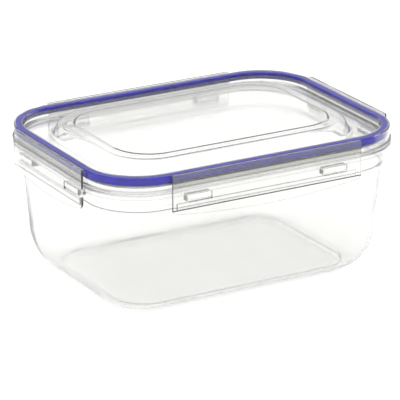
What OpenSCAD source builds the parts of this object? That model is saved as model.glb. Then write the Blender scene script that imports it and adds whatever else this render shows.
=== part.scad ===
// Rectangular snap-lid food container: a clear tub, a clear lid with four hinged latches,
// and a silicone gasket in the lid's rim. X is the long side, Y the short side, Z is up,
// and the origin is the middle of the foot, on the table. Outlines are rounded rectangles
// that are stated by how far they lie inside the outline of the tub's flange.

/* [Outline] */
// Length of the flange, along X
flange_l = 255; // [220:1:310]
// Width of the flange, along Y
flange_w = 190; // [165:1:235]
// Height of the tub's rim above the table
tub_h = 110.5; // [85:0.5:150]
// Corner radius of the flange
corner_r = 46; // [38:1:52]

/* [Tub] */
// Thickness of the walls
wall = 1.8; // [1.2:0.1:2.4]
// Lean of the walls from vertical, in degrees
draft = 5.1; // [2:0.1:7]
// Height of the thicker collar under the flange
collar_h = 12.9; // [11:0.1:18]
// How far the collar lies inside the flange's outline
collar_inset = 5.7; // [5.2:0.1:6.4]
// How far the collar stands out from the wall below it
collar_step = 1.1; // [0.6:0.1:1.6]
// Height of the rounding between wall and floor
blend_h = 32; // [20:1:40]
// Width of the rounding between wall and floor
blend_w = 17.3; // [12:0.1:22]
// Corner radius at the bottom of the rounding
blend_corner_r = 29; // [24:1:34]
// Height of the foot
foot_h = 4; // [3:0.1:6]
// How far the foot lies inside the bottom of the rounding
foot_inset = 3.5; // [2:0.1:6]
// Thickness of the floor
floor_t = 2.2; // [1.5:0.1:2.8]
// Depth of the recess under the floor
foot_recess = 1.2; // [1:0.1:1.5]
// Width of the ring that stands on the table
foot_land = 3; // [2:0.1:5]

/* [Rim] */
// Height of the rim above the flange
rim_h = 8.9; // [8:0.1:11]
// Thickness of the rim
rim_t = 2; // [1.6:0.1:2.1]
// Height of the flange's outer skirt
flange_h = 4.4; // [3.5:0.1:6]
// Thickness of the flange's plate
flange_t = 1.6; // [1.2:0.1:2]
// Thickness of the flange's outer skirt
skirt_t = 1.5; // [1:0.1:2]

/* [Gasket] */
// Width of the gasket
gasket_w = 4.65; // [4.5:0.05:5.6]
// Height of the gasket
gasket_h = 5.1; // [4.4:0.1:6.2]
// Thickness of the gasket's leg, which hangs down outside the rim
leg_t = 2; // [1.6:0.1:2.1]
// Height of the gasket's leg
leg_h = 2.9; // [2:0.1:3.6]

/* [Lid] */
// Thickness of the outer wall of the channel that holds the gasket
lid_wall = 1.4; // [1.2:0.1:1.7]
// Thickness of the inner wall of the channel
inner_wall = 0.9; // [0.7:0.1:1.4]
// Thickness of the lid over the gasket
lid_top_t = 0.9; // [0.8:0.1:1.6]
// Thickness of the lip around the lid's lower edge
lip_t = 1.8; // [1.2:0.1:2.4]
// How far the lip stands out from the channel
lip_w = 1; // [0.6:0.1:1.4]
// Thickness of the lid's floor and panel
panel_t = 1.4; // [1:0.1:1.8]
// Depth of the trench between the lid's rim and its panel
trench_depth = 7.8; // [5.5:0.1:8.5]
// Width of the trench at the panel's foot
trench_w = 16; // [12:0.5:24]
// Lean of the panel's sides, as the width they take up
panel_lean = 4.8; // [3:0.1:7]
// Height of the panel above the lid's rim
panel_rise = 2.2; // [1:0.1:3]
// Corner radius of the panel's top
panel_corner_r = 33; // [28:1:36]
// How far the panel's raised middle lies inside the panel's edge
middle_inset = 9; // [8:0.5:14]
// Height of the panel's raised middle
middle_h = 0.8; // [0.5:0.1:1]
// Corner radius of the panel's raised middle
middle_corner_r = 30; // [22:1:34]

/* [Latches] */
// Length of the front and back latches
long_latch_l = 158; // [120:1:162]
// Length of the left and right latches
short_latch_l = 106; // [90:1:112]
// Height of a latch at its ends
latch_h = 29.1; // [26:0.1:34]
// How much deeper a latch is at its middle
latch_arch = 5; // [2:0.5:7]
// Thickness of a latch
latch_t = 1.6; // [1.2:0.1:2]
// Radius of a latch's lower corners
latch_corner_r = 4; // [2:0.5:6]
// Distance between the two slots of a front or back latch
long_slot_span = 114; // [80:1:120]
// Distance between the two slots of a left or right latch
short_slot_span = 72; // [50:1:76]
// Length of a slot
slot_l = 20; // [12:0.5:24]
// Height of a slot
slot_h = 6; // [5:0.1:7]
// Height of the locking bar under the slots
bar_h = 5; // [3:0.1:6]
// How far the locking bar reaches inwards from the latch
bar_reach = 1.5; // [0.8:0.1:2]

/* [Hinges] */
// Thickness of a living hinge
web_t = 0.5; // [0.4:0.05:0.6]

/* [Fits] */
// Gap between the latches and the tub
latch_gap = 0.35; // [0.3:0.05:0.6]
// Gap between the lid's lip and the tub's flange
lip_gap = 0.4; // [0.3:0.05:0.6]
// Gap around a lug in its slot
lug_gap = 0.4; // [0.3:0.05:0.6]
// Gap beside the gasket in its channel
gasket_gap = 0.1; // [0.05:0.05:0.2]
// Gap between the gasket's leg and the rim
rim_gap = 0.3; // [0.2:0.05:0.4]
// Gap at the bends of the living hinges
bend_gap = 0.05; // [0.03:0.01:0.08]

/* [Hidden] */
$fn = 96;
join = 0.4;         // overlap that fuses two shapes of one piece
arc_steps = 8;      // facets in a quarter turn of a lofted corner
blend_steps = 10;   // facets down the rounding between wall and floor
bevel = 0.5;        // bevel along the panel's top edge
clear_pp = [0.86, 0.88, 0.88, 0.45];
clear_blue = [0.24, 0.20, 0.72];

// Heights
flange_top = tub_h - rim_h;
flange_bottom = flange_top - flange_h;
collar_bottom = flange_bottom - collar_h;
gasket_bottom = tub_h - leg_h;
gasket_top = gasket_bottom + gasket_h;
lid_top = gasket_top + lid_top_t;
lip_bottom = flange_top + lip_gap;
trench_z = lid_top - trench_depth;
panel_z = lid_top + panel_rise;
hinge_z = lid_top - web_t / 2 - bend_gap;

// Insets from the flange's outline. The lid's lip is flush with the flange.
channel_out = lip_w;
gasket_out = channel_out + lid_wall + gasket_gap;
gasket_in = gasket_out + gasket_w;
skirt_out = gasket_in + gasket_gap;
skirt_in = skirt_out + inner_wall;
rim_out = gasket_out + leg_t + rim_gap;
rim_in = rim_out + rim_t;
collar_in = collar_inset + wall;
panel_foot = skirt_in + trench_w;
panel_in = panel_foot + panel_lean;
middle_in = panel_in + middle_inset;
body_top = collar_inset + collar_step;
body_low = body_top + (collar_bottom - foot_h - blend_h) * tan(draft);
body_foot = body_low + blend_w;
foot_out = body_foot + foot_inset;

// Latch sizes, measured outwards from the channel's outer face
latch_in = lip_w + latch_gap;
bend_1 = web_t / 2 + bend_gap;
bend_2 = latch_in - web_t / 2 - bend_gap;
lug_top = flange_bottom;
slot_top = lug_top + lug_gap;
slot_bottom = slot_top - slot_h;
lug_bottom = slot_bottom + lug_gap;
lug_reach = latch_in + latch_t - latch_gap;
bar_in = latch_in - bar_reach;
lug_slope = 0.6;    // rise of a lug's underside for each mm outwards, so that the bar swings past

// A rounded rectangle this far inside the flange's outline
module outline(inset, radius = 0) {
    r = radius > 0 ? radius : corner_r - inset;
    x = flange_l / 2 - inset - r;
    y = flange_w / 2 - inset - r;
    square([2 * (x + r), 2 * y], center = true);
    square([2 * x, 2 * (y + r)], center = true);
    for (sx = [-1, 1], sy = [-1, 1]) translate([sx * x, sy * y]) circle(r);
}

// The outline as a plate from one height to another
module plate(inset, z1, z2, radius = 0) {
    translate([0, 0, z1]) linear_extrude(z2 - z1) outline(inset, radius);
}

// A wall that follows the outline, between two insets
module band(out, in, z1, z2) {
    translate([0, 0, z1]) linear_extrude(z2 - z1) difference() {
        outline(out);
        outline(in);
    }
}

// The points of a rounded rectangle at a height, anticlockwise from above
function ring(inset, radius, z) = [
    for (c = [0:3], i = [0:arc_steps])
        let (a = 90 * (c + i / arc_steps),
             x = flange_l / 2 - inset - radius,
             y = flange_w / 2 - inset - radius)
        [(c == 0 || c == 3 ? x : -x) + radius * cos(a), (c < 2 ? y : -y) + radius * sin(a), z]
];

// A solid through rings, listed from the lowest to the highest
module loft(rings) {
    m = len(rings[0]);
    top = m * (len(rings) - 1);
    polyhedron(
        points = [for (r = rings) each r],
        faces = [
            [for (i = [0:m - 1]) i],
            for (j = [0:len(rings) - 2], i = [0:m - 1])
                [j * m + i, (j + 1) * m + i, (j + 1) * m + (i + 1) % m, j * m + (i + 1) % m],
            [for (i = [m - 1:-1:0]) top + i]
        ]);
}

// A raised area from one height to another, with an inset and a corner radius at each. It starts
// a little lower down, so that it fuses with what it stands on.
module step(inset_1, radius_1, z1, inset_2, radius_2, z2) {
    loft([ring(inset_1, radius_1, z1 - join), ring(inset_1, radius_1, z1),
          ring(inset_2, radius_2, z2)]);
}

// Rings of the tub's body, moved inwards by a thickness: the rounding, then the wall
function body_rings(t, top_z) = [
    for (k = [0:blend_steps])
        let (a = 90 * (1 - k / blend_steps),
             rise = (blend_h - t) * (1 - sin(a)),
             inset = body_foot - (blend_w - t) * cos(a),
             radius = blend_corner_r + (corner_r - body_low - t - blend_corner_r) * cos(a))
        ring(inset, radius, foot_h + t + rise),
    ring(body_top + t, corner_r - body_top - t, top_z)
];

module body_shell() {
    difference() {
        union() {
            loft(body_rings(0, collar_bottom));
            plate(collar_inset, collar_bottom, flange_top);
            plate(foot_out, 0, foot_h + wall, blend_corner_r - foot_inset);
        }
        loft(body_rings(wall, collar_bottom + wall + join));
        plate(collar_in, collar_bottom + wall, tub_h);
        plate(foot_out + wall, foot_recess + floor_t, foot_h + 2 * wall,
              blend_corner_r - foot_inset - wall);
        plate(foot_out + foot_land, -join, foot_recess, blend_corner_r - foot_inset - foot_land);
    }
}

// The catch that a latch's locking bar snaps under: square above, ramped below
module lug() {
    ramp = lug_slope * (lug_reach - bar_in);
    root = channel_out - collar_inset - join;
    flange_skirt = channel_out - skirt_t;
    translate([-slot_l / 2 + lug_gap, 0, 0]) rotate([90, 0, 90])
        linear_extrude(slot_l - 2 * lug_gap) {
            polygon([[root, lug_bottom], [bar_in, lug_bottom], [lug_reach, lug_bottom + ramp],
                     [lug_reach, lug_top], [root, lug_top]]);
            translate([flange_skirt + join, lug_top - join])
                square([skirt_t - 2 * join, 2 * join]);
        }
}

// Puts what it is given on one side: +Y becomes outwards from the channel's outer face
module on_side(side) {
    turn = side == "back" ? 0 : side == "front" ? 180 : side == "right" ? -90 : 90;
    out = (side == "back" || side == "front" ? flange_w : flange_l) / 2 - channel_out;
    rotate([0, 0, turn]) translate([0, out, 0]) children();
}

module tub() {
    color(clear_pp) {
        body_shell();
        band(0, skirt_t, flange_bottom, flange_top);
        band(0, collar_in, flange_top - flange_t, flange_top);
        band(rim_out, rim_in, flange_top - join, tub_h);
        for (side = ["front", "back"], s = [-1, 1])
            on_side(side) translate([s * long_slot_span / 2, 0, 0]) lug();
        for (side = ["left", "right"], s = [-1, 1])
            on_side(side) translate([s * short_slot_span / 2, 0, 0]) lug();
    }
}

module lid() {
    foot_r = panel_corner_r + panel_lean;
    shift = panel_t * tan(atan((panel_z - trench_z) / panel_lean) / 2);
    color(clear_pp) {
        band(channel_out, channel_out + lid_wall, lip_bottom, lid_top);
        band(0, channel_out + lid_wall, lip_bottom, lip_bottom + lip_t);
        band(channel_out, skirt_in, gasket_top, lid_top);
        band(skirt_out, skirt_in, trench_z - panel_t, lid_top);
        difference() {
            union() {
                plate(skirt_out + inner_wall / 2, trench_z - panel_t, trench_z);
                step(panel_foot, foot_r, trench_z, panel_in, panel_corner_r, panel_z - bevel);
                step(panel_in, panel_corner_r, panel_z - bevel,
                     panel_in + bevel, panel_corner_r - bevel, panel_z);
                step(middle_in, middle_corner_r, panel_z,
                     middle_in + middle_h, middle_corner_r - middle_h, panel_z + middle_h);
            }
            step(panel_foot + shift, foot_r - shift, trench_z - panel_t,
                 panel_in + shift, panel_corner_r - shift, panel_z - panel_t);
            step(middle_in + middle_h, middle_corner_r - middle_h, panel_z - panel_t,
                 middle_in + 2 * middle_h, middle_corner_r - 2 * middle_h,
                 panel_z + middle_h - panel_t);
        }
    }
}

module gasket() {
    color(clear_blue) difference() {
        band(gasket_out, gasket_in, gasket_bottom, gasket_top);
        band(gasket_out + leg_t, gasket_in + join, gasket_bottom - join, tub_h);
    }
}

// A latch's face: straight sides, round lower corners and a lower edge that is one long arc
module latch_outline(l) {
    r = latch_corner_r;
    arch_r = (pow(l / 2, 2) + pow(latch_arch, 2)) / (2 * latch_arch);
    low = -latch_h - latch_arch;
    corner_x = l / 2 - r;
    corner_y = low + arch_r - sqrt(pow(arch_r - r, 2) - pow(corner_x, 2));
    meet_x = corner_x * arch_r / (arch_r - r);
    difference() {
        intersection() {
            translate([0, low + arch_r]) circle(arch_r, $fn = 720);
            translate([-meet_x, low - join]) square([2 * meet_x, -low + join]);
        }
        translate([-l, 0]) square([2 * l, 2 * arch_r]);
    }
    translate([-l / 2, corner_y]) square([l, -corner_y]);
    for (s = [-1, 1]) translate([s * corner_x, corner_y]) circle(r);
}

// A latch, closed, at the back: a plate with two slots, and a bar that snaps under the lugs
module latch(l, span) {
    color(clear_pp) difference() {
        union() {
            translate([0, latch_in + latch_t, lid_top])
                rotate([90, 0, 0]) linear_extrude(latch_t) latch_outline(l);
            translate([-l / 2 + latch_corner_r, bar_in, slot_bottom - bar_h])
                cube([l - 2 * latch_corner_r, bar_reach + join, bar_h]);
        }
        for (s = [-1, 1])
            translate([s * span / 2 - slot_l / 2, bar_in - join, slot_bottom])
                cube([slot_l, latch_t + bar_reach + 2 * join, slot_h]);
    }
}

// The thin strip that joins a latch to the lid, round along both lines that it bends about
module living_hinge(l) {
    color(clear_pp) translate([-l / 2 + join, 0, hinge_z]) rotate([90, 0, 90])
        linear_extrude(l - 2 * join) {
            for (y = [bend_1, bend_2]) translate([y, 0]) circle(web_t / 2, $fn = 24);
            translate([bend_1, -web_t / 2]) square([bend_2 - bend_1, web_t]);
        }
}

module latch_front() { on_side("front") latch(long_latch_l, long_slot_span); }
module latch_back() { on_side("back") latch(long_latch_l, long_slot_span); }
module latch_left() { on_side("left") latch(short_latch_l, short_slot_span); }
module latch_right() { on_side("right") latch(short_latch_l, short_slot_span); }
module living_hinge_front() { on_side("front") living_hinge(long_latch_l); }
module living_hinge_back() { on_side("back") living_hinge(long_latch_l); }
module living_hinge_left() { on_side("left") living_hinge(short_latch_l); }
module living_hinge_right() { on_side("right") living_hinge(short_latch_l); }

tub();
lid();
gasket();
latch_front();
latch_back();
latch_left();
latch_right();
living_hinge_front();
living_hinge_back();
living_hinge_left();
living_hinge_right();
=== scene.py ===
"""A clear food box: a tub, a lid with four hinged latches, and a blue silicone gasket.

Lengths in this file are millimetres until a mesh is made. Every rim of the box follows one
rounded rectangle, the outline of the tub's flange, so a wall's place is an inset from it.
"""

import logging
import math
from contextlib import contextmanager
from dataclasses import dataclass
from enum import Enum
from typing import Callable, Iterator, Sequence

import bmesh
import bpy
import numpy as np
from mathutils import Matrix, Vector


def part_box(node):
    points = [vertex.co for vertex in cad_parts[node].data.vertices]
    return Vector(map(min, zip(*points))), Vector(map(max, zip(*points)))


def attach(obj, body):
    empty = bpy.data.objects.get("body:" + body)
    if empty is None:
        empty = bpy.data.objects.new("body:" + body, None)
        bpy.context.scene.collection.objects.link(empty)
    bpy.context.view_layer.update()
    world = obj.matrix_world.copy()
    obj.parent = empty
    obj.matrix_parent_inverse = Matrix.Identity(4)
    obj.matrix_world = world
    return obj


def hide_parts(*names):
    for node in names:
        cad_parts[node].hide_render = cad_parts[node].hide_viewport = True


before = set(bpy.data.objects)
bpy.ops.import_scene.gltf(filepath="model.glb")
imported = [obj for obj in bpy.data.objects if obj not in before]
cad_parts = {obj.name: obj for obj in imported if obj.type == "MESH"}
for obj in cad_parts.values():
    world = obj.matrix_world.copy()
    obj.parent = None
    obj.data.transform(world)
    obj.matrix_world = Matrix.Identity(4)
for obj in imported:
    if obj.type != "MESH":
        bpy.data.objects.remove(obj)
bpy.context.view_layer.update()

log = logging.getLogger("container")

MM = 0.001

FLANGE_CORNER_R = 46.0  # of the tub's flange, seen from above
LIP_W = 1.0  # how far the lid's wall stands inside its lip
LATCH_INNER = 0.35  # from the flange's edge out to a latch

CORNER_STEPS = 22  # faces round a quarter turn of the outline
FILLET_STEPS = 5  # faces round one rounded edge of a section
FILLET_SHARE = 0.45  # the most of a leg that its rounding may take
STRAIGHT_HALF_ANGLE = math.radians(89)  # a corner flatter than this isn't rounded
BEYOND_SHARE = 0.35  # of a rounding's reach: how far past it its outer points lie
BEYOND_MOST = 0.3  # and the most that this may be
LEAST_CORNER_R = 0.3  # keeps an outline's corner from closing up
CAP_SCALES = (0.0, 0.4, 0.8, 0.985)  # of the rings from a face's middle to its first row
MERGE_M = 1e-7  # vertices nearer than this are made one


class Side(Enum):
    """The four sides of the box, each with the turn that brings +Y round to face outwards."""

    FRONT = 180
    BACK = 0
    LEFT = 90
    RIGHT = -90

    @property
    def word(self) -> str:
        """The side's name as the frame's nodes spell it."""
        return self.name.lower()

    @property
    def is_long(self) -> bool:
        """True for the two long sides."""
        return self in (Side.FRONT, Side.BACK)

    @property
    def lug_span(self) -> float:
        """The distance between the middles of the side's two lugs, and of its latch's slots."""
        return 114.0 if self.is_long else 72.0


# ---------------------------------------------------------------- sizes


@dataclass(frozen=True)
class Stack:
    """The heights and insets that pieces share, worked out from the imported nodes' boxes."""

    flange_l: float
    flange_w: float
    corner_r: float
    rim_z: float
    lid_bottom: float
    lid_high: float
    gasket_bottom: float
    gasket_top: float
    gasket_out: float
    latch_low: float
    lid_top: float

    @staticmethod
    def from_frame() -> "Stack":
        """Reads the sizes from the frame.

        Returns:
            The stack, in millimetres.
        """
        low = {n: np.array(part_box(n)[0]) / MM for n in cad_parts}
        high = {n: np.array(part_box(n)[1]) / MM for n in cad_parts}
        length, width = high["lid"][0] * 2, high["lid"][1] * 2
        return Stack(
            flange_l=length, flange_w=width, corner_r=FLANGE_CORNER_R,
            rim_z=high["tub"][2], lid_bottom=low["lid"][2], lid_high=high["lid"][2],
            gasket_bottom=low["gasket"][2], gasket_top=high["gasket"][2],
            gasket_out=length / 2 - high["gasket"][0],
            latch_low=low["latch_back"][2], lid_top=high["latch_back"][2],
        )


# ---------------------------------------------------------------- shapes


def fillet(before: np.ndarray, at: np.ndarray, after: np.ndarray, radius: float) -> np.ndarray:
    """The points of an arc that rounds one corner of a profile, with a point to each side.

    The arc touches both legs at radius / tan(half the angle between them) from the corner,
    or nearer where a leg is too short. Its points are a turn's spherical mix of its ends:
    (sin((1 - t) sweep) start + sin(t sweep) end) / sin(sweep). The outer two points keep the
    shading of a long flat leg flat.

    Args:
        before: the profile's point before the corner.
        at: the corner.
        after: the point after it.
        radius: the rounding's radius.

    Returns:
        The points in order, or just the corner where it isn't rounded.
    """
    leg_in, leg_out = before - at, after - at
    len_in, len_out = np.linalg.norm(leg_in), np.linalg.norm(leg_out)
    leg_in, leg_out = leg_in / len_in, leg_out / len_out
    half = math.acos(np.clip(leg_in @ leg_out, -1, 1)) / 2
    if radius <= 0 or half > STRAIGHT_HALF_ANGLE:
        return at[None]
    reach = min(radius / math.tan(half), FILLET_SHARE * len_in, FILLET_SHARE * len_out)
    true_r = reach * math.tan(half)
    middle = at + (leg_in + leg_out) / np.linalg.norm(leg_in + leg_out) * true_r / math.sin(half)
    start, end = at + leg_in * reach - middle, at + leg_out * reach - middle
    sweep = math.pi - 2 * half
    t = np.linspace(0, 1, FILLET_STEPS + 1)[:, None]
    arc = middle + (np.sin((1 - t) * sweep) * start + np.sin(t * sweep) * end) / math.sin(sweep)
    beyond = min(BEYOND_SHARE * reach, BEYOND_MOST)
    first, last = arc[0] + leg_in * beyond, arc[-1] + leg_out * beyond
    return np.vstack([first, arc, last])


def rounded(corners: Sequence[tuple[float, float, float]], closed: bool) -> np.ndarray:
    """A profile with rounded corners.

    Args:
        corners: (inset, height, rounding radius) of each corner.
        closed: True if the last corner joins the first.

    Returns:
        The profile's points, one (inset, height) in each row.
    """
    points = np.array([c[:2] for c in corners], float)
    count = len(points)
    parts = []
    for i, (_, _, radius) in enumerate(corners):
        if not closed and i in (0, count - 1):
            parts.append(points[i][None])
        else:
            parts.append(fillet(points[i - 1], points[i], points[(i + 1) % count], radius))
    return np.vstack(parts)


def outward(points: np.ndarray, faces: np.ndarray) -> np.ndarray:
    """Turns faces round if they point into the solid.

    A closed surface's volume is a sixth of the sum of a . (b x c) over its triangles, and is
    negative when its faces point inwards.

    Args:
        points: the vertices.
        faces: triangles or quads, as rows of vertex numbers.

    Returns:
        The faces, pointing outwards.
    """
    a, b, c = points[faces[:, 0]], points[faces[:, 1]], points[faces[:, 2]]
    volume = np.einsum("ij,ij->", a, np.cross(b, c))
    if faces.shape[1] == 4:
        d = points[faces[:, 3]]
        volume += np.einsum("ij,ij->", a, np.cross(c, d))
    return faces if volume > 0 else faces[:, ::-1]


def join_grid(grid: np.ndarray, wrap: bool) -> tuple[np.ndarray, np.ndarray]:
    """Joins a grid's neighbours with quads.

    Args:
        grid: points, rows by stops by 3. The last stop always joins the first.
        wrap: whether the last row joins the first too.

    Returns:
        Vertices and quads that point outwards.
    """
    rows, stops = grid.shape[:2]
    row = np.arange(rows if wrap else rows - 1)[:, None]
    stop = np.arange(stops)[None]
    here, above = row * stops, (row + 1) % rows * stops
    after = (stop + 1) % stops
    quads = np.stack([here + stop, here + after, above + after, above + stop], axis=-1)
    points = grid.reshape(-1, 3)
    return points, outward(points, quads.reshape(-1, 4))


def sweep(section: np.ndarray, places: np.ndarray) -> np.ndarray:
    """Copies a section to places along a straight line.

    Args:
        section: (across, up) rows.
        places: where along the line each copy stands.

    Returns:
        Points (place, across, up), as places by section rows by 3.
    """
    shape = (len(places), len(section))
    return np.stack([np.broadcast_to(places[:, None], shape),
                     np.broadcast_to(section[:, 0], shape),
                     np.broadcast_to(section[:, 1], shape)], axis=-1)


@dataclass(frozen=True)
class Outline:
    """The rounded rectangle that the box's rims follow, and surfaces carried along it."""

    length: float
    width: float
    corner_steps: int = CORNER_STEPS

    def path(self) -> tuple[np.ndarray, np.ndarray, np.ndarray]:
        """The way round: for each stop, which corner it belongs to and its direction.

        Each corner is a quarter turn in equal steps, and the straight sides run between them.

        Returns:
            The corner's sign in X, its sign in Y, and the angle of each stop.
        """
        step = np.linspace(0, math.pi / 2, self.corner_steps + 1)
        quarter = np.arange(4)
        angle = (quarter[:, None] * math.pi / 2 + step[None]).ravel()
        sign_x = np.repeat([1.0, -1.0, -1.0, 1.0], len(step))
        sign_y = np.repeat([1.0, 1.0, -1.0, -1.0], len(step))
        return sign_x, sign_y, angle

    def carry(
        self, profile: np.ndarray, radius: Callable[[np.ndarray], np.ndarray]
    ) -> np.ndarray:
        """Carries a profile round the outline.

        A point at inset d lies on a rounded rectangle that is d inside the outline, with a
        corner radius r(d): its corners' centres are at (length / 2 - d - r, width / 2 - d - r).

        Args:
            profile: (inset, height) rows.
            radius: the corner radius at each inset.

        Returns:
            Points, as profile rows by stops by X, Y, Z.
        """
        sign_x, sign_y, angle = self.path()
        inset, height = profile[:, 0:1], profile[:, 1:2]
        r = np.maximum(radius(inset), LEAST_CORNER_R)
        x = sign_x * (self.length / 2 - inset - r) + r * np.cos(angle)
        y = sign_y * (self.width / 2 - inset - r) + r * np.sin(angle)
        return np.stack([x, y, np.broadcast_to(height, x.shape)], axis=-1)

    def ring_surface(
        self, profile: np.ndarray, radius: Callable[[np.ndarray], np.ndarray]
    ) -> tuple[np.ndarray, np.ndarray]:
        """The closed surface of a ring: a closed profile carried round.

        Args:
            profile: the closed profile.
            radius: the corner radius at each inset.

        Returns:
            Vertices and quads.
        """
        return join_grid(self.carry(profile, radius), wrap=True)

    def shell_surface(
        self,
        profile: np.ndarray,
        radius: Callable[[np.ndarray], np.ndarray],
        first_z: float,
        last_z: float,
    ) -> tuple[np.ndarray, np.ndarray]:
        """The closed surface of a dish: a profile that starts and ends at the middle.

        Each end is closed by rings that are the end row scaled about the middle, down to a
        single point, so that faces fan out from it.

        Args:
            profile: from the middle of one face, out round the rim, to the middle of the other.
            radius: the corner radius at each inset.
            first_z: height of the middle where the profile starts.
            last_z: height of the middle where it ends.

        Returns:
            Vertices and quads.
        """
        grid = self.carry(profile, radius)
        shrink = np.array(CAP_SCALES)[:, None, None]
        start, end = grid[0] * (1, 1, 0), grid[-1] * (1, 1, 0)
        first_cap = start[None] * shrink + np.array([0, 0, first_z])
        last_cap = end[None] * shrink[::-1] + np.array([0, 0, last_z])
        return join_grid(np.concatenate([first_cap, grid, last_cap]), wrap=False)


@contextmanager
def edited(mesh: bpy.types.Mesh) -> Iterator[bmesh.types.BMesh]:
    """Opens a mesh for editing, and writes it back afterwards.

    Args:
        mesh: the mesh.

    Yields:
        Its editable copy.
    """
    work = bmesh.new()
    work.from_mesh(mesh)
    yield work
    work.to_mesh(mesh)
    work.free()


def new_object(name: str, points: np.ndarray, faces: np.ndarray) -> bpy.types.Object:
    """Makes an object from arrays, with doubles merged and smooth faces.

    Args:
        name: the piece's name.
        points: vertices in millimetres.
        faces: rows of vertex numbers.

    Returns:
        The object, at the origin.
    """
    mesh = bpy.data.meshes.new(name)
    mesh.from_pydata((points * MM).tolist(), [], faces.tolist())
    with edited(mesh) as work:
        bmesh.ops.remove_doubles(work, verts=work.verts, dist=MERGE_M)
        bmesh.ops.dissolve_degenerate(work, edges=work.edges, dist=MERGE_M)
    mesh.polygons.foreach_set("use_smooth", np.ones(len(mesh.polygons), bool))
    mesh.update()
    obj = bpy.data.objects.new(name, mesh)
    bpy.context.scene.collection.objects.link(obj)
    return obj


def apply_modifiers(obj: bpy.types.Object) -> bpy.types.Mesh:
    """Makes what an object's modifiers give its own mesh, and removes them.

    Args:
        obj: the object.

    Returns:
        Its new mesh.
    """
    graph = bpy.context.evaluated_depsgraph_get()
    made = bpy.data.meshes.new_from_object(obj.evaluated_get(graph))
    obj.modifiers.clear()
    old = obj.data
    obj.data = made
    bpy.data.meshes.remove(old)
    return made


def bake_shape(obj: bpy.types.Object, sharp_deg: float = 40.0) -> None:
    """Applies an object's modifiers to its mesh and keeps its sharp edges sharp.

    Args:
        obj: the object.
        sharp_deg: edges that turn more than this stay sharp.
    """
    made = apply_modifiers(obj)
    made.polygons.foreach_set("use_smooth", np.ones(len(made.polygons), bool))
    made.set_sharp_from_angle(angle=math.radians(sharp_deg))


def settle_normals(obj: bpy.types.Object) -> None:
    """Weights the shading by face area, so that a large flat face next to a narrow rounding
    stays flat and doesn't bend what is seen through it.

    Args:
        obj: the object, its sharp edges already marked.
    """
    weigh = obj.modifiers.new("normals", "WEIGHTED_NORMAL")
    weigh.mode, weigh.weight, weigh.keep_sharp = "FACE_AREA", 100, True
    apply_modifiers(obj)


def to_side(points: np.ndarray, side: Side, stack: Stack) -> np.ndarray:
    """Puts points on one side of the box.

    Args:
        points: along the side, outwards from the flange's edge, and up.
        side: the side.
        stack: the shared sizes.

    Returns:
        The points, turned round the vertical and moved out.
    """
    out = (stack.flange_w if side.is_long else stack.flange_l) / 2
    turn = math.radians(side.value)
    c, s = math.cos(turn), math.sin(turn)
    x, y = points[..., 0], points[..., 1] + out
    return np.stack([c * x - s * y, s * x + c * y, points[..., 2]], axis=-1)


# ---------------------------------------------------------------- materials


def srgb(code: str) -> tuple[float, float, float, float]:
    """Turns an sRGB hex colour to linear, by the standard's two-part curve.

    Args:
        code: such as "#E8ECEC".

    Returns:
        Red, green, blue and an alpha of 1.
    """
    parts = np.array([int(code[i:i + 2], 16) for i in (1, 3, 5)]) / 255
    linear = np.where(parts <= 0.04045, parts / 12.92, ((parts + 0.055) / 1.055) ** 2.4)
    return (*map(float, linear), 1.0)


def add_node(
    tree: bpy.types.NodeTree, kind: str, feeds: dict | None = None, **settings: object
) -> bpy.types.Node:
    """Adds a shader node.

    Args:
        tree: the node tree.
        kind: the node's type name.
        feeds: for each input, by name or number, a value or the output that drives it.
        settings: the node's own settings.

    Returns:
        The node.
    """
    node = tree.nodes.new(kind)
    for name, value in settings.items():
        setattr(node, name, value)
    for key, value in (feeds or {}).items():
        if isinstance(value, bpy.types.NodeSocket):
            tree.links.new(value, node.inputs[key])
        else:
            node.inputs[key].default_value = value
    return node


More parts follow.
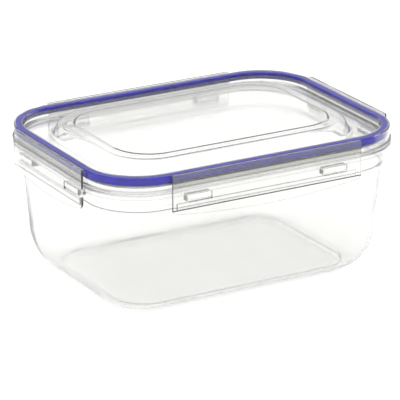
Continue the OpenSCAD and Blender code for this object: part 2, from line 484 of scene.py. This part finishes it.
@dataclass(frozen=True)
class ClearPolypropylene:
    """Injection-moulded polypropylene: clear but milky, with a soft gloss.

    The crystals in it scatter a little light, so thick places and edges go pale grey, and a
    moulded wall is never quite flat, so what is behind it wavers. The mould's polish leaves a
    grain much finer than a millimetre, drawn here as coarse as it needs to be to show.
    """

    name: str
    tint: str = "#FDFDFC"
    clearness: float = 0.965
    roughness: float = 0.08
    roughness_spread: float = 0.05
    ior: float = 1.49
    wave_mm: float = 26.0
    wave_height_mm: float = 0.05
    grain_mm: float = 0.9
    grain_height_mm: float = 0.003
    noise_range: tuple[float, float] = (0.3, 0.7)  # between which nearly all of a noise lies
    shade_band: tuple[float, float] | None = None  # the heights between which a level grey band of painted shade runs
    # the grey of the painted shade band, and how soft its edges are
    shade_band_tint: str = "#C6C6C2"
    shade_band_edge_mm: float = 0.3

    def build(self) -> bpy.types.Material:
        """Makes the material.

        Returns:
            The material, on Object coordinates.
        """
        material = bpy.data.materials.new(self.name)
        material.use_nodes = True
        tree = material.node_tree
        tree.nodes.clear()
        place = add_node(tree, "ShaderNodeTexCoord").outputs["Object"]
        haze = add_node(tree, "ShaderNodeTexNoise",
                        {"Vector": place, "Scale": 1 / (self.wave_mm * MM), "Detail": 3.0})
        rough = add_node(tree, "ShaderNodeMapRange",
                         {"Value": haze.outputs["Fac"],
                          "From Min": self.noise_range[0], "From Max": self.noise_range[1],
                          "To Min": self.roughness - self.roughness_spread / 2,
                          "To Max": self.roughness + self.roughness_spread / 2})
        grain = add_node(tree, "ShaderNodeTexNoise",
                         {"Vector": place, "Scale": 1 / (self.grain_mm * MM), "Detail": 2.0})
        wave = add_node(tree, "ShaderNodeBump",
                        {"Height": haze.outputs["Fac"], "Strength": 1.0,
                         "Distance": self.wave_height_mm * MM})
        bump = add_node(tree, "ShaderNodeBump",
                        {"Height": grain.outputs["Fac"], "Strength": 1.0,
                         "Distance": self.grain_height_mm * MM, "Normal": wave.outputs["Normal"]})
        # with a band set, a level grey band of painted shade is mixed into the tint
        colour = srgb(self.tint) if self.shade_band is None else self.with_shade_band(tree, place)
        shader = add_node(tree, "ShaderNodeBsdfPrincipled",
                          {"Base Color": colour,
                           "IOR": self.ior,
                           "Transmission Weight": self.clearness,
                           "Roughness": rough.outputs["Result"],
                           "Normal": bump.outputs["Normal"]})
        add_node(tree, "ShaderNodeOutputMaterial", {"Surface": shader.outputs["BSDF"]})
        return material

    def with_shade_band(
        self, tree: bpy.types.NodeTree, place: bpy.types.NodeSocket
    ) -> bpy.types.NodeSocket:
        """The tint with a level grey band of painted shade: the band's where the height's distance
        from its middle is under half its width, and the plain tint beyond.

        Args:
            tree: the material's node tree.
            place: Object coordinates.

        Returns:
            The colour.
        """
        low, high = self.shade_band
        up = add_node(tree, "ShaderNodeSeparateXYZ", {0: place}).outputs["Z"]
        middle, half = (low + high) / 2 * MM, (high - low) / 2 * MM
        soft = self.shade_band_edge_mm * MM
        away = add_node(tree, "ShaderNodeMath", {0: up, 1: middle}, operation="SUBTRACT")
        span = add_node(tree, "ShaderNodeMath", {0: away.outputs[0]}, operation="ABSOLUTE")
        inside = add_node(tree, "ShaderNodeMapRange",
                          {"Value": span.outputs[0], "From Min": half - soft,
                           "From Max": half + soft, "To Min": 1.0, "To Max": 0.0})
        mix = add_node(tree, "ShaderNodeMix",
                       {"Factor": inside.outputs["Result"], "A": srgb(self.tint),
                        "B": srgb(self.shade_band_tint)}, data_type="RGBA")
        return mix.outputs[2]


@dataclass(frozen=True)
class BlueSilicone:
    """Moulded silicone rubber: deep blue, slightly see-through, with a soft sheen.

    Light goes a couple of millimetres into it, so its edges glow, and a slow mottle keeps
    its blue from looking painted on.
    """

    name: str = "blue_moulded_silicone"
    deep: str = "#1E10BE"
    pale: str = "#2E1EDC"
    roughness: float = 0.32
    roughness_spread: float = 0.06
    ior: float = 1.41
    mottle_mm: float = 7.0
    mottle_range: tuple[float, float] = (0.35, 0.65)
    see_through: float = 0.25
    light_depth_mm: float = 2.0

    def build(self) -> bpy.types.Material:
        """Makes the material.

        Returns:
            The material, on Object coordinates.
        """
        material = bpy.data.materials.new(self.name)
        material.use_nodes = True
        tree = material.node_tree
        tree.nodes.clear()
        place = add_node(tree, "ShaderNodeTexCoord").outputs["Object"]
        mottle = add_node(tree, "ShaderNodeTexNoise",
                          {"Vector": place, "Scale": 1 / (self.mottle_mm * MM), "Detail": 3.0})
        ramp = add_node(tree, "ShaderNodeValToRGB", {"Fac": mottle.outputs["Fac"]})
        stops = zip(ramp.color_ramp.elements, self.mottle_range, (self.deep, self.pale))
        for stop, position, code in stops:
            stop.position, stop.color = position, srgb(code)
        rough = add_node(tree, "ShaderNodeMapRange",
                         {"Value": mottle.outputs["Fac"],
                          "To Min": self.roughness - self.roughness_spread,
                          "To Max": self.roughness + self.roughness_spread})
        shader = add_node(tree, "ShaderNodeBsdfPrincipled",
                          {"Base Color": ramp.outputs["Color"], "IOR": self.ior,
                           "Roughness": rough.outputs["Result"],
                           "Subsurface Weight": self.see_through,
                           "Subsurface Scale": self.light_depth_mm * MM})
        add_node(tree, "ShaderNodeOutputMaterial", {"Surface": shader.outputs["BSDF"]})
        return material


@dataclass(frozen=True)
class Finishes:
    """The materials of the box, made once and shared."""

    tub: bpy.types.Material
    lid: bpy.types.Material
    latch: bpy.types.Material
    gasket: bpy.types.Material

    @staticmethod
    def build() -> "Finishes":
        """Makes every finish.

        Returns:
            The finishes.
        """
        return Finishes(
            tub=ClearPolypropylene("clear_moulded_polypropylene_tub", roughness=0.10).build(),
            lid=ClearPolypropylene("clear_moulded_polypropylene_lid", roughness=0.07,
                                   clearness=0.995).build(),
            # the latches carry a grey band of painted shade, at the heights where the lid's
            # channel behind them shows dark
            latch=ClearPolypropylene("clear_moulded_polypropylene_latch", roughness=0.12,
                                     clearness=0.975, shade_band=(103.9, 108.6)).build(),
            gasket=BlueSilicone().build(),
        )


# ---------------------------------------------------------------- pieces


@dataclass
class Tub:
    """The tub: one moulding from the foot to the rim, with eight lugs under its flange."""

    stack: Stack
    wall: float = 1.8
    foot_inset: float = 31.91
    foot_land: float = 3.0
    foot_h: float = 4.0
    recess: float = 1.2
    recess_run: float = 4.0  # flat before the faces fan in to the middle
    floor_z: float = 3.4
    floor_run: float = 5.0  # the same, inside
    blend_foot: float = 28.41  # the rounding between floor and wall starts at this inset
    blend_w: float = 17.3
    blend_h: float = 32.0
    blend_corner_r: float = 29.0
    blend_steps: int = 22
    blend_run: float = 12.0  # over which the corners go on tightening, under the floor
    collar_bottom: float = 84.3
    collar_in: float = 5.7
    collar_step: float = 1.1
    flange_bottom: float = 97.2
    flange_top: float = 101.6
    flange_t: float = 1.6
    skirt_t: float = 1.5
    rim_out: float = 4.8
    rim_t: float = 2.0
    lug_l: float = 19.2
    lug_bottom: float = 92.0
    lug_out: float = 1.6  # past the flange's edge
    lug_flat: float = -1.15  # where its underside ends and its ramp starts
    lug_ramp: float = 1.65
    lug_bed: float = 0.6  # how far it runs into the collar
    lug_under: float = 0.05  # its outer part's clearance under the flange
    lug_up: float = 0.25  # how far it runs up into the skirt
    lug_chamfer: float = 0.3

    def corner_radius(self, inset: np.ndarray) -> np.ndarray:
        """The corner radius at an inset: concentric with the flange down to the rounding at
        the bottom, where the corners tighten more slowly.

        Args:
            inset: distances inside the flange's outline.

        Returns:
            The radii.
        """
        low, run = self.blend_foot - self.blend_w, self.blend_run
        stops = [0.0, low, self.blend_foot, self.blend_foot + run]
        r = self.stack.corner_r
        radii = [r, r - low, self.blend_corner_r, self.blend_corner_r - run]
        return np.interp(inset, stops, radii)

    def rounding(self, t: float) -> np.ndarray:
        """The rounding between floor and wall: a quarter of an ellipse, from the floor up.

        Args:
            t: how far inside the outer surface it lies.

        Returns:
            Profile rows.
        """
        a = np.linspace(math.pi / 2, 0, self.blend_steps)
        inset = self.blend_foot - (self.blend_w - t) * np.cos(a)
        height = self.foot_h + t + (self.blend_h - t) * (1 - np.sin(a))
        return np.stack([inset, height], axis=1)

    def profile(self) -> np.ndarray:
        """The tub's section, from the middle of its underside out over the rim and back in
        to the middle of its floor. Each corner is (inset, height, rounding radius).

        Returns:
            Profile rows.
        """
        t = self.wall
        land_in = self.foot_inset + self.foot_land
        wall_top = self.collar_in + self.collar_step
        low, blend_top = self.blend_foot - self.blend_w, self.foot_h + self.blend_h
        rim_in, rim_top = self.rim_out + self.rim_t, self.stack.rim_z
        under_flange = self.flange_top - self.flange_t
        under = rounded([
            (land_in + self.recess_run, self.recess, 0), (land_in, self.recess, 0.4),
            (land_in, 0, 0.3), (self.foot_inset, 0, 0.8),  # the ring that it stands on
            (self.foot_inset, self.foot_h, 0.8), (self.blend_foot, self.foot_h, 0),
        ], closed=False)
        outside = [
            (low, blend_top, 0), (wall_top, self.collar_bottom, 0.5),
            (self.collar_in, self.collar_bottom, 0.5), (self.collar_in, under_flange, 0.6),
            (self.skirt_t, under_flange, 0.5), (self.skirt_t, self.flange_bottom, 0.4),
            (0, self.flange_bottom, 0.5), (0, self.flange_top, 0.7),
            (self.rim_out, self.flange_top, 0.6), (self.rim_out, rim_top, 0.8),
        ]
        inside = [
            (rim_in, rim_top, 0.8), (rim_in, self.flange_top, 0.6),
            (self.collar_in + t, self.flange_top, 0.8),
            (self.collar_in + t, self.collar_bottom + t, 0.8),
            (wall_top + t, self.collar_bottom + t, 0.8), (low + t, blend_top, 0),
        ]
        pan = self.foot_inset + t
        floor = rounded([
            (self.blend_foot, self.foot_h + t, 0), (pan, self.foot_h + t, 1.0),
            (pan, self.floor_z, 1.0), (pan + self.floor_run, self.floor_z, 0),
        ], closed=False)
        return np.vstack([under, self.rounding(0)[1:], rounded(outside + inside, False)[1:],
                          self.rounding(t)[::-1][1:], floor[1:]])

    def lug_mesh(self, side: Side, along: float) -> tuple[np.ndarray, list[list[int]]]:
        """One lug: a block that is square above and ramped below, run into the collar and
        the flange.

        Args:
            side: the side it is on.
            along: its place along the side.

        Returns:
            Vertices and faces of a closed prism.
        """
        root, top = -self.collar_in - self.lug_bed, self.flange_bottom + self.lug_up
        skirt, shelf = -self.skirt_t / 2, self.flange_bottom - self.lug_under
        section = np.array([[root, self.lug_bottom], [self.lug_flat, self.lug_bottom],
                            [self.lug_out, self.lug_bottom + self.lug_ramp],
                            [self.lug_out, shelf], [skirt, shelf], [skirt, top],
                            [skirt - self.lug_chamfer, top], [root, top - self.lug_chamfer]])
        ends = np.array([-self.lug_l / 2, self.lug_l / 2]) + along
        ring = np.arange(len(section))
        after = (ring + 1) % len(section)
        far, far_after = ring + len(section), after + len(section)
        faces = np.stack([ring, after, far_after, far], axis=1).tolist()
        faces += [ring[::-1].tolist(), far.tolist()]
        return to_side(sweep(section, ends).reshape(-1, 3), side, self.stack), faces

    def build(self, finish: bpy.types.Material) -> bpy.types.Object:
        """Makes the tub with its lugs in one closed mesh.

        Args:
            finish: the tub's material.

        Returns:
            The tub.
        """
        outline = Outline(self.stack.flange_l, self.stack.flange_w)
        points, faces = outline.shell_surface(self.profile(), self.corner_radius,
                                              self.recess, self.floor_z)
        tub = new_object("tub_shell", points, faces)
        for side in Side:
            for sign in (-1, 1):
                self.add_lug(tub, side, sign * side.lug_span / 2)
        tub.data.materials.clear()
        tub.data.materials.append(finish)
        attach(tub, "tub")
        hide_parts("tub")
        return tub

    def add_lug(self, tub: bpy.types.Object, side: Side, along: float) -> None:
        """Fuses one lug to the tub.

        Args:
            tub: the tub.
            side: the lug's side.
            along: its place along the side.
        """
        points, faces = self.lug_mesh(side, along)
        mesh = bpy.data.meshes.new("lug")
        mesh.from_pydata((points * MM).tolist(), [], faces)
        with edited(mesh) as work:
            bmesh.ops.recalc_face_normals(work, faces=work.faces)
        lug = bpy.data.objects.new("lug", mesh)
        bpy.context.scene.collection.objects.link(lug)
        union = tub.modifiers.new("lug", "BOOLEAN")
        union.operation, union.solver, union.object = "UNION", "EXACT", lug
        bake_shape(tub)
        bpy.data.objects.remove(lug)


@dataclass
class Lid:
    """The lid: lip, channel, trench and raised panel in one moulding."""

    stack: Stack
    lip_t: float = 1.8
    wall: float = 1.4
    skirt_out: float = 7.25
    inner_wall: float = 0.9
    trench_depth: float = 7.8
    trench_w: float = 16.0
    panel_lean: float = 4.8
    panel_t: float = 1.4
    panel_corner_r: float = 33.0
    middle_inset: float = 9.0
    middle_h: float = 0.8
    middle_corner_r: float = 30.0
    middle_run: float = 8.0  # flat before the faces fan in to the middle
    under_run: float = 9.0  # the same, underneath
    corner_run: float = 10.0  # over which the corners go on tightening
    under: float = 0.88  # how much further in the underside of a slope lies than its top

    @property
    def channel(self) -> float:
        """Inset of the channel's face towards the trench."""
        return self.skirt_out + self.inner_wall

    @property
    def edge(self) -> float:
        """Inset of the panel's edge."""
        return self.channel + self.trench_w + self.panel_lean

    def corner_radius(self, inset: np.ndarray) -> np.ndarray:
        """The corner radius at an inset: concentric with the flange out to the channel, then
        easing to the raised panel's own corners.

        Args:
            inset: distances inside the flange's outline.

        Returns:
            The radii.
        """
        foot, middle = self.channel + self.trench_w, self.edge + self.middle_inset
        r = self.stack.corner_r
        stops = [0.0, self.channel, foot, self.edge, middle, middle + self.corner_run]
        radii = [r, r - self.channel, self.panel_corner_r + self.panel_lean, self.panel_corner_r,
                 self.middle_corner_r, self.middle_corner_r - self.corner_run]
        return np.interp(inset, stops, radii)

    def profile(self) -> np.ndarray:
        """The lid's section, from the middle of its panel out over the channel and back in
        under the panel. Each corner is (inset, height, rounding radius).

        Returns:
            Profile rows.
        """
        s = self.stack
        top, t = s.lid_top, self.panel_t
        trench, lip_top = top - self.trench_depth, s.lid_bottom + self.lip_t
        foot = self.channel + self.trench_w
        middle = self.edge + self.middle_inset
        panel = s.lid_high - self.middle_h
        wall_in = LIP_W + self.wall
        outside = [
            (middle + self.middle_run, s.lid_high, 0),
            (middle + self.middle_h, s.lid_high, 3.0), (middle, panel, 3.0),  # raised middle
            (self.edge, panel, 5.0), (foot, trench, 3.0),  # the panel's slope
            (self.channel, trench, 1.5), (self.channel, top, 0.7), (LIP_W, top, 1.0),
            (LIP_W, lip_top, 0.35), (0, lip_top, 0.6), (0, s.lid_bottom, 0.6),
            (wall_in, s.lid_bottom, 0.4),
        ]
        inside = [
            (wall_in, s.gasket_top, 0.15), (self.skirt_out, s.gasket_top, 0.15),  # channel
            (self.skirt_out, trench - t, 0.4), (foot + self.under, trench - t, 3.0),
            (self.edge + self.under, panel - t, 3.6), (middle + self.middle_h, panel - t, 0.6),
            (middle + 2 * self.middle_h, s.lid_high - t, 0.6),
            (middle + self.under_run, s.lid_high - t, 0),
        ]
        return rounded(outside + inside, closed=False)

    def build(self, finish: bpy.types.Material) -> bpy.types.Object:
        """Makes the lid.

        Args:
            finish: the lid's material.

        Returns:
            The lid.
        """
        s = self.stack
        outline = Outline(s.flange_l, s.flange_w)
        points, faces = outline.shell_surface(self.profile(), self.corner_radius,
                                              s.lid_high, s.lid_high - self.panel_t)
        lid = new_object("lid_shell", points, faces)
        lid.data.materials.append(finish)
        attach(lid, "lid")
        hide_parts("lid")
        return lid


@dataclass
class Gasket:
    """The silicone ring in the lid's channel: a flat ring on the tub's rim, with a leg that
    hangs down outside it.

    It clings to the channel's ceiling, so it is bedded a hair into it: with no air between, its
    colour shows right through. A soft ring never hangs dead centre, and this one leans towards
    the front left corner, where it clings to the channel's outer wall too.
    """

    stack: Stack
    width: float = 4.65
    leg_t: float = 2.0
    cling: float = 0.07
    lean: tuple[float, float, float] = (-0.14, -0.14, 0.0)
    tip_t: float = 1.7  # at its inner edge, thinner than over the rim
    land: float = 0.6  # the width that lies on the rim
    land_rise: float = 0.02

    def build(self, finish: bpy.types.Material) -> bpy.types.Object:
        """Makes the gasket.

        Args:
            finish: the gasket's material.

        Returns:
            The gasket.
        """
        s = self.stack
        out, inside = s.gasket_out, s.gasket_out + self.width
        low, high = s.gasket_bottom, s.gasket_top + self.cling
        leg = out + self.leg_t
        section = rounded([(out, low, 0.35), (out, high, 0.25),
                           (inside, high, 0.25), (inside, high - self.tip_t, 0.35),
                           (leg + self.land, s.rim_z + self.land_rise, 0.4),
                           (leg, s.rim_z, 0.2), (leg, low, 0.35)], closed=True)
        outline = Outline(s.flange_l, s.flange_w)
        points, faces = outline.ring_surface(section, lambda inset: s.corner_r - inset)
        ring = new_object("gasket_ring", points + np.array(self.lean), faces)
        ring.data.materials.append(finish)
        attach(ring, "lid")
        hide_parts("gasket")
        return ring


@dataclass
class Latch:
    """A latch: a plate with two slots, a locking bar below them and an arched lower edge.

    Across the plate, places are measured outwards from the flange's edge.
    """

    stack: Stack
    side: Side
    inner: float = LATCH_INNER
    thick: float = 1.6
    lip_thick: float = 1.15  # below the locking bar
    bar_in: float = -1.15  # the bar's face, inside the flange's edge, under the lugs
    bar_h: float = 5.0
    slot_l: float = 20.0
    slot_h: float = 6.0
    slot_top: float = 97.6
    arch: float = 5.0
    corner_r: float = 4.0
    corner_columns: int = 7
    middle_columns: int = 25
    edge_r: float = 0.45
    edge_steps: int = 3
    edge_deg: float = 40.0  # edges that turn more than this are rounded
    sharp_deg: float = 35.0  # and of what is left, those that turn more than this stay sharp
    flat_deg: float = 1.0  # faces that turn less than this are made one

    @property
    def length(self) -> float:
        """The latch's length, from its node's box."""
        low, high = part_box(f"latch_{self.side.word}")
        return (high[0] - low[0] if self.side.is_long else high[1] - low[1]) / MM

    def lower_edge(self, x: np.ndarray) -> np.ndarray:
        """Height of the lower edge: one long arc through both ends and the deepest middle,
        met by a quarter circle at each end.

        Args:
            x: places along the latch.

        Returns:
            Heights.
        """
        half, low = self.length / 2, self.stack.latch_low
        arch_r = (half**2 + self.arch**2) / (2 * self.arch)
        arc = low + arch_r - np.sqrt(arch_r**2 - x**2)
        end_x = half - self.corner_r
        end_z = low + arch_r - math.sqrt((arch_r - self.corner_r) ** 2 - end_x**2)
        beyond = np.clip(np.abs(x) - end_x, 0, self.corner_r)
        corner = end_z - np.sqrt(self.corner_r**2 - beyond**2)
        return np.where(np.abs(x) > end_x, corner, arc)

    def columns(self) -> tuple[np.ndarray, np.ndarray]:
        """The plate's lines along its length.

        Returns:
            Their places, and 1 where the locking bar is and 0 beyond its ends. A place that
            comes twice, with 0 and with 1, makes the bar's square end.
        """
        half, end = self.length / 2, self.length / 2 - self.corner_r
        turn = np.linspace(0, math.pi / 2, self.corner_columns)
        rounding = end + self.corner_r * np.sin(turn)
        slots = [s * self.side.lug_span / 2 + e * self.slot_l / 2
                 for s in (-1, 1) for e in (-1, 1)]
        even = np.linspace(-end, end, self.middle_columns)
        inside = np.unique(np.round(np.concatenate([even, slots]), 4))  # to 0.1 micrometre
        x = np.concatenate([-rounding[::-1], inside, rounding])
        beyond = np.zeros(len(rounding))
        bar = np.concatenate([beyond, np.ones(len(inside)), beyond])
        tips = np.isclose(np.abs(x), half)
        x[tips] = np.sign(x[tips]) * half
        return x, bar

    def plate(self) -> tuple[np.ndarray, np.ndarray]:
        """The plate as two sheets of points, inner and outer, that share rows and columns.
        A cell of the grid is left out where a slot is, and walls join the sheets wherever a
        cell has no neighbour. Two rows at one height make a square step in the inner sheet.

        Returns:
            Vertices and quads.
        """
        x, bar = self.columns()
        slot_low, top = self.slot_top - self.slot_h, self.stack.lid_top
        lip = self.inner + self.thick - self.lip_thick
        bar_low = slot_low - self.bar_h
        edge = self.lower_edge(x)
        levels = [bar_low, bar_low, slot_low, slot_low, self.slot_top, top]
        slot_row = 5
        z = np.stack([edge, (edge + bar_low) / 2, *(np.full(len(x), h) for h in levels)])
        plain = np.array([lip] * 3 + [self.inner] * 5)[:, None]
        barred = np.array([lip] * 3 + [self.bar_in] * 2 + [self.inner] * 3)[:, None]
        along = np.broadcast_to(x, z.shape)
        outer = np.full(z.shape, self.inner + self.thick)
        sheet_in = np.stack([along, np.where(bar > 0, barred, plain), z], axis=-1)
        sheet_out = np.stack([along, outer, z], axis=-1)
        middle = (x[1:] + x[:-1]) / 2
        from_slot = np.abs(np.abs(middle) - self.side.lug_span / 2)
        filled = np.ones((len(z) - 1, len(middle)), bool)
        filled[slot_row] = from_slot >= self.slot_l / 2
        return self.close(sheet_in, sheet_out, filled)

    @staticmethod
    def close(
        sheet_in: np.ndarray, sheet_out: np.ndarray, filled: np.ndarray
    ) -> tuple[np.ndarray, np.ndarray]:
        """Closes two sheets of points into a solid plate.

        Args:
            sheet_in: inner points, rows by columns by 3.
            sheet_out: outer points.
            filled: which cells of the grid are solid.

        Returns:
            Vertices and quads.
        """
        rows, cols = sheet_in.shape[:2]
        number = np.arange(rows * cols).reshape(rows, cols)
        shift = rows * cols
        a, b = number[:-1, :-1], number[:-1, 1:]
        c, d = number[1:, 1:], number[1:, :-1]
        front = np.stack([a, b, c, d], axis=-1)[filled] + shift
        back = np.stack([d, c, b, a], axis=-1)[filled]
        padded = np.pad(filled, 1)
        here = padded[1:-1, 1:-1]
        walls = []
        for gap, p, q in ((~padded[:-2, 1:-1], a, b), (~padded[2:, 1:-1], c, d),
                          (~padded[1:-1, :-2], d, a), (~padded[1:-1, 2:], b, c)):
            use = here & gap
            walls.append(np.stack([p[use], q[use], q[use] + shift, p[use] + shift], axis=-1))
        faces = np.concatenate([front, back, *walls])
        return np.concatenate([sheet_in.reshape(-1, 3), sheet_out.reshape(-1, 3)]), faces

    def build(self, finish: bpy.types.Material) -> bpy.types.Object:
        """Makes the latch and rounds its edges.

        Args:
            finish: the latch's material.

        Returns:
            The latch.
        """
        points, faces = self.plate()
        node = f"latch_{self.side.word}"
        latch = new_object(f"{node}_plate", to_side(points, self.side, self.stack), faces)
        with edited(latch.data) as work:
            bmesh.ops.recalc_face_normals(work, faces=work.faces)
            bmesh.ops.dissolve_limit(work, angle_limit=math.radians(self.flat_deg),
                                     verts=work.verts, edges=work.edges)
        bevel = latch.modifiers.new("edges", "BEVEL")
        bevel.width, bevel.segments = self.edge_r * MM, self.edge_steps
        bevel.limit_method, bevel.angle_limit = "ANGLE", math.radians(self.edge_deg)
        bake_shape(latch, self.sharp_deg)
        settle_normals(latch)
        latch.data.materials.append(finish)
        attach(latch, node)
        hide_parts(node)
        return latch


@dataclass
class LivingHinge:
    """The thin strip that joins a latch to the lid's top edge."""

    stack: Stack
    side: Side
    thick: float = 0.5
    gap: float = 0.05
    stations: int = 9
    edge_points: int = 9
    sharp_deg: float = 50.0

    def build(self, finish: bpy.types.Material) -> bpy.types.Object:
        """Makes the strip: a flat section with half-round edges, copied along the side, with
        a fan of faces at each end.

        Args:
            finish: its material.

        Returns:
            The strip.
        """
        node = f"living_hinge_{self.side.word}"
        low, high = (np.array(c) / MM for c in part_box(node))
        half = high[0] if self.side.is_long else high[1]
        r = self.thick / 2
        first, last = -LIP_W + self.gap + r, LATCH_INNER - self.gap - r
        middle = (low[2] + high[2]) / 2
        turn = np.linspace(math.pi / 2, 3 * math.pi / 2, self.edge_points)
        edge = np.stack([r * np.cos(turn), r * np.sin(turn)], axis=1)
        section = np.concatenate([edge + (first, middle), -edge + (last, middle)])
        places = np.linspace(-half, half, self.stations)
        core = np.broadcast_to(section.mean(0), section.shape)
        caps = sweep(core, places[[0, -1]])
        grid = np.concatenate([caps[:1], sweep(section, places), caps[1:]])
        points, faces = join_grid(to_side(grid, self.side, self.stack), wrap=False)
        strip = new_object(f"{node}_strip", points, faces)
        strip.data.set_sharp_from_angle(angle=math.radians(self.sharp_deg))
        strip.data.materials.append(finish)
        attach(strip, f"hinge_{self.side.word}")
        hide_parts(node)
        return strip


# ---------------------------------------------------------------- studio


@dataclass
class Studio:
    """A pale floor, soft light all round, and the camera."""

    azimuth: float = -29.91
    elevation: float = 19.93
    distance: float = 2.286
    lens: float = 276.5
    aim_mm: tuple[float, float, float] = (-10.94, -16.60, 58.62)
    sensor: float = 36.0
    clip: tuple[float, float] = (0.1, 50.0)
    floor_size: float = 12.0
    floor_colour: str = "#B4B4B4"
    floor_roughness: float = 0.9
    floor_gloss: float = 0.1
    floor_glow: float = 0.78
    low: float = 0.35  # the sine of the elevation below which the room is dim
    high: float = 0.8  # and of the one above which it is bright
    dim: float = 0.8
    bright: float = 1.05
    panel_place: tuple[float, float, float] = (0.0, 0.1, 1.6)
    panel_size: float = 1.6
    panel_watts: float = 4.0
    bounces: int = 32
    clear_bounces: int = 16

    def build_floor(self) -> None:
        """Lays the floor: white acrylic lit from below, so that nothing on it casts a hard
        shadow and the clear walls have something pale to show."""
        half = self.floor_size / 2
        corners = [(-half, -half, 0), (half, -half, 0), (half, half, 0), (-half, half, 0)]
        mesh = bpy.data.meshes.new("floor")
        mesh.from_pydata(corners, [], [(0, 1, 2, 3)])
        floor = bpy.data.objects.new("floor", mesh)
        bpy.context.scene.collection.objects.link(floor)
        material = bpy.data.materials.new("back_lit_white_acrylic")
        material.use_nodes = True
        tree = material.node_tree
        tree.nodes.clear()
        shader = add_node(tree, "ShaderNodeBsdfPrincipled",
                          {"Base Color": srgb(self.floor_colour),
                           "Roughness": self.floor_roughness,
                           "Specular IOR Level": self.floor_gloss,
                           "Emission Color": (1.0, 1.0, 0.99, 1.0),
                           "Emission Strength": self.floor_glow})
        add_node(tree, "ShaderNodeOutputMaterial", {"Surface": shader.outputs["BSDF"]})
        mesh.materials.append(material)

    def build_camera(self) -> None:
        """Places the camera by the direction that it looks from."""
        a, e = math.radians(self.azimuth), math.radians(self.elevation)
        back = Vector((math.sin(a) * math.cos(e), -math.cos(a) * math.cos(e), math.sin(e)))
        data = bpy.data.cameras.new("camera")
        data.lens, data.sensor_width = self.lens, self.sensor
        data.clip_start, data.clip_end = self.clip
        camera = bpy.data.objects.new("camera", data)
        camera.rotation_mode = "QUATERNION"
        camera.location = Vector(self.aim_mm) * MM + back * self.distance
        camera.rotation_quaternion = (-back).to_track_quat("-Z", "Y")
        bpy.context.scene.collection.objects.link(camera)
        bpy.context.scene.camera = camera

    def build_light(self) -> None:
        """Lights the box: a white room that is dimmer low down and brighter overhead, mixed
        by the height of the direction looked in, and one soft square panel above."""
        world = bpy.data.worlds.new("studio")
        bpy.context.scene.world = world
        world.use_nodes = True
        tree = world.node_tree
        tree.nodes.clear()
        place = add_node(tree, "ShaderNodeTexCoord").outputs["Generated"]
        height = add_node(tree, "ShaderNodeVectorMath", {0: place, 1: (0.0, 0.0, 1.0)},
                          operation="DOT_PRODUCT")
        level = add_node(tree, "ShaderNodeMapRange",
                         {"Value": height.outputs["Value"],
                          "From Min": self.low, "From Max": self.high,
                          "To Min": self.dim, "To Max": self.bright},
                         interpolation_type="SMOOTHSTEP")
        background = add_node(tree, "ShaderNodeBackground",
                              {"Color": (1.0, 1.0, 1.0, 1.0), "Strength": level.outputs["Result"]})
        add_node(tree, "ShaderNodeOutputWorld", {"Surface": background.outputs["Background"]})
        data = bpy.data.lights.new("top_panel", "AREA")
        data.shape, data.size, data.energy = "SQUARE", self.panel_size, self.panel_watts
        panel = bpy.data.objects.new("top_panel", data)
        panel.location = self.panel_place
        towards_box = Vector((0.0, 0.0, 0.0)) - Vector(self.panel_place)
        panel.rotation_mode = "QUATERNION"
        panel.rotation_quaternion = towards_box.to_track_quat("-Z", "Y")
        bpy.context.scene.collection.objects.link(panel)

    def build(self) -> None:
        """Builds the studio and sets how light is followed through clear walls."""
        self.build_floor()
        self.build_camera()
        self.build_light()
        scene = bpy.context.scene
        scene.view_settings.view_transform = "Standard"
        scene.cycles.max_bounces = self.bounces
        scene.cycles.transmission_bounces = self.bounces
        scene.cycles.transparent_max_bounces = self.clear_bounces
        scene.cycles.use_denoising = True


def main() -> None:
    """Builds the box piece by piece, then the studio."""
    logging.basicConfig(level=logging.INFO, format="%(name)s: %(message)s")
    stack = Stack.from_frame()
    finishes = Finishes.build()
    made = [Tub(stack).build(finishes.tub), Lid(stack).build(finishes.lid),
            Gasket(stack).build(finishes.gasket)]
    for side in Side:
        made.append(Latch(stack, side).build(finishes.latch))
        made.append(LivingHinge(stack, side).build(finishes.latch))
    for piece in made:
        log.info("%s: %d faces", piece.name, len(piece.data.polygons))
    Studio().build()


if __name__ == "__main__":
    main()
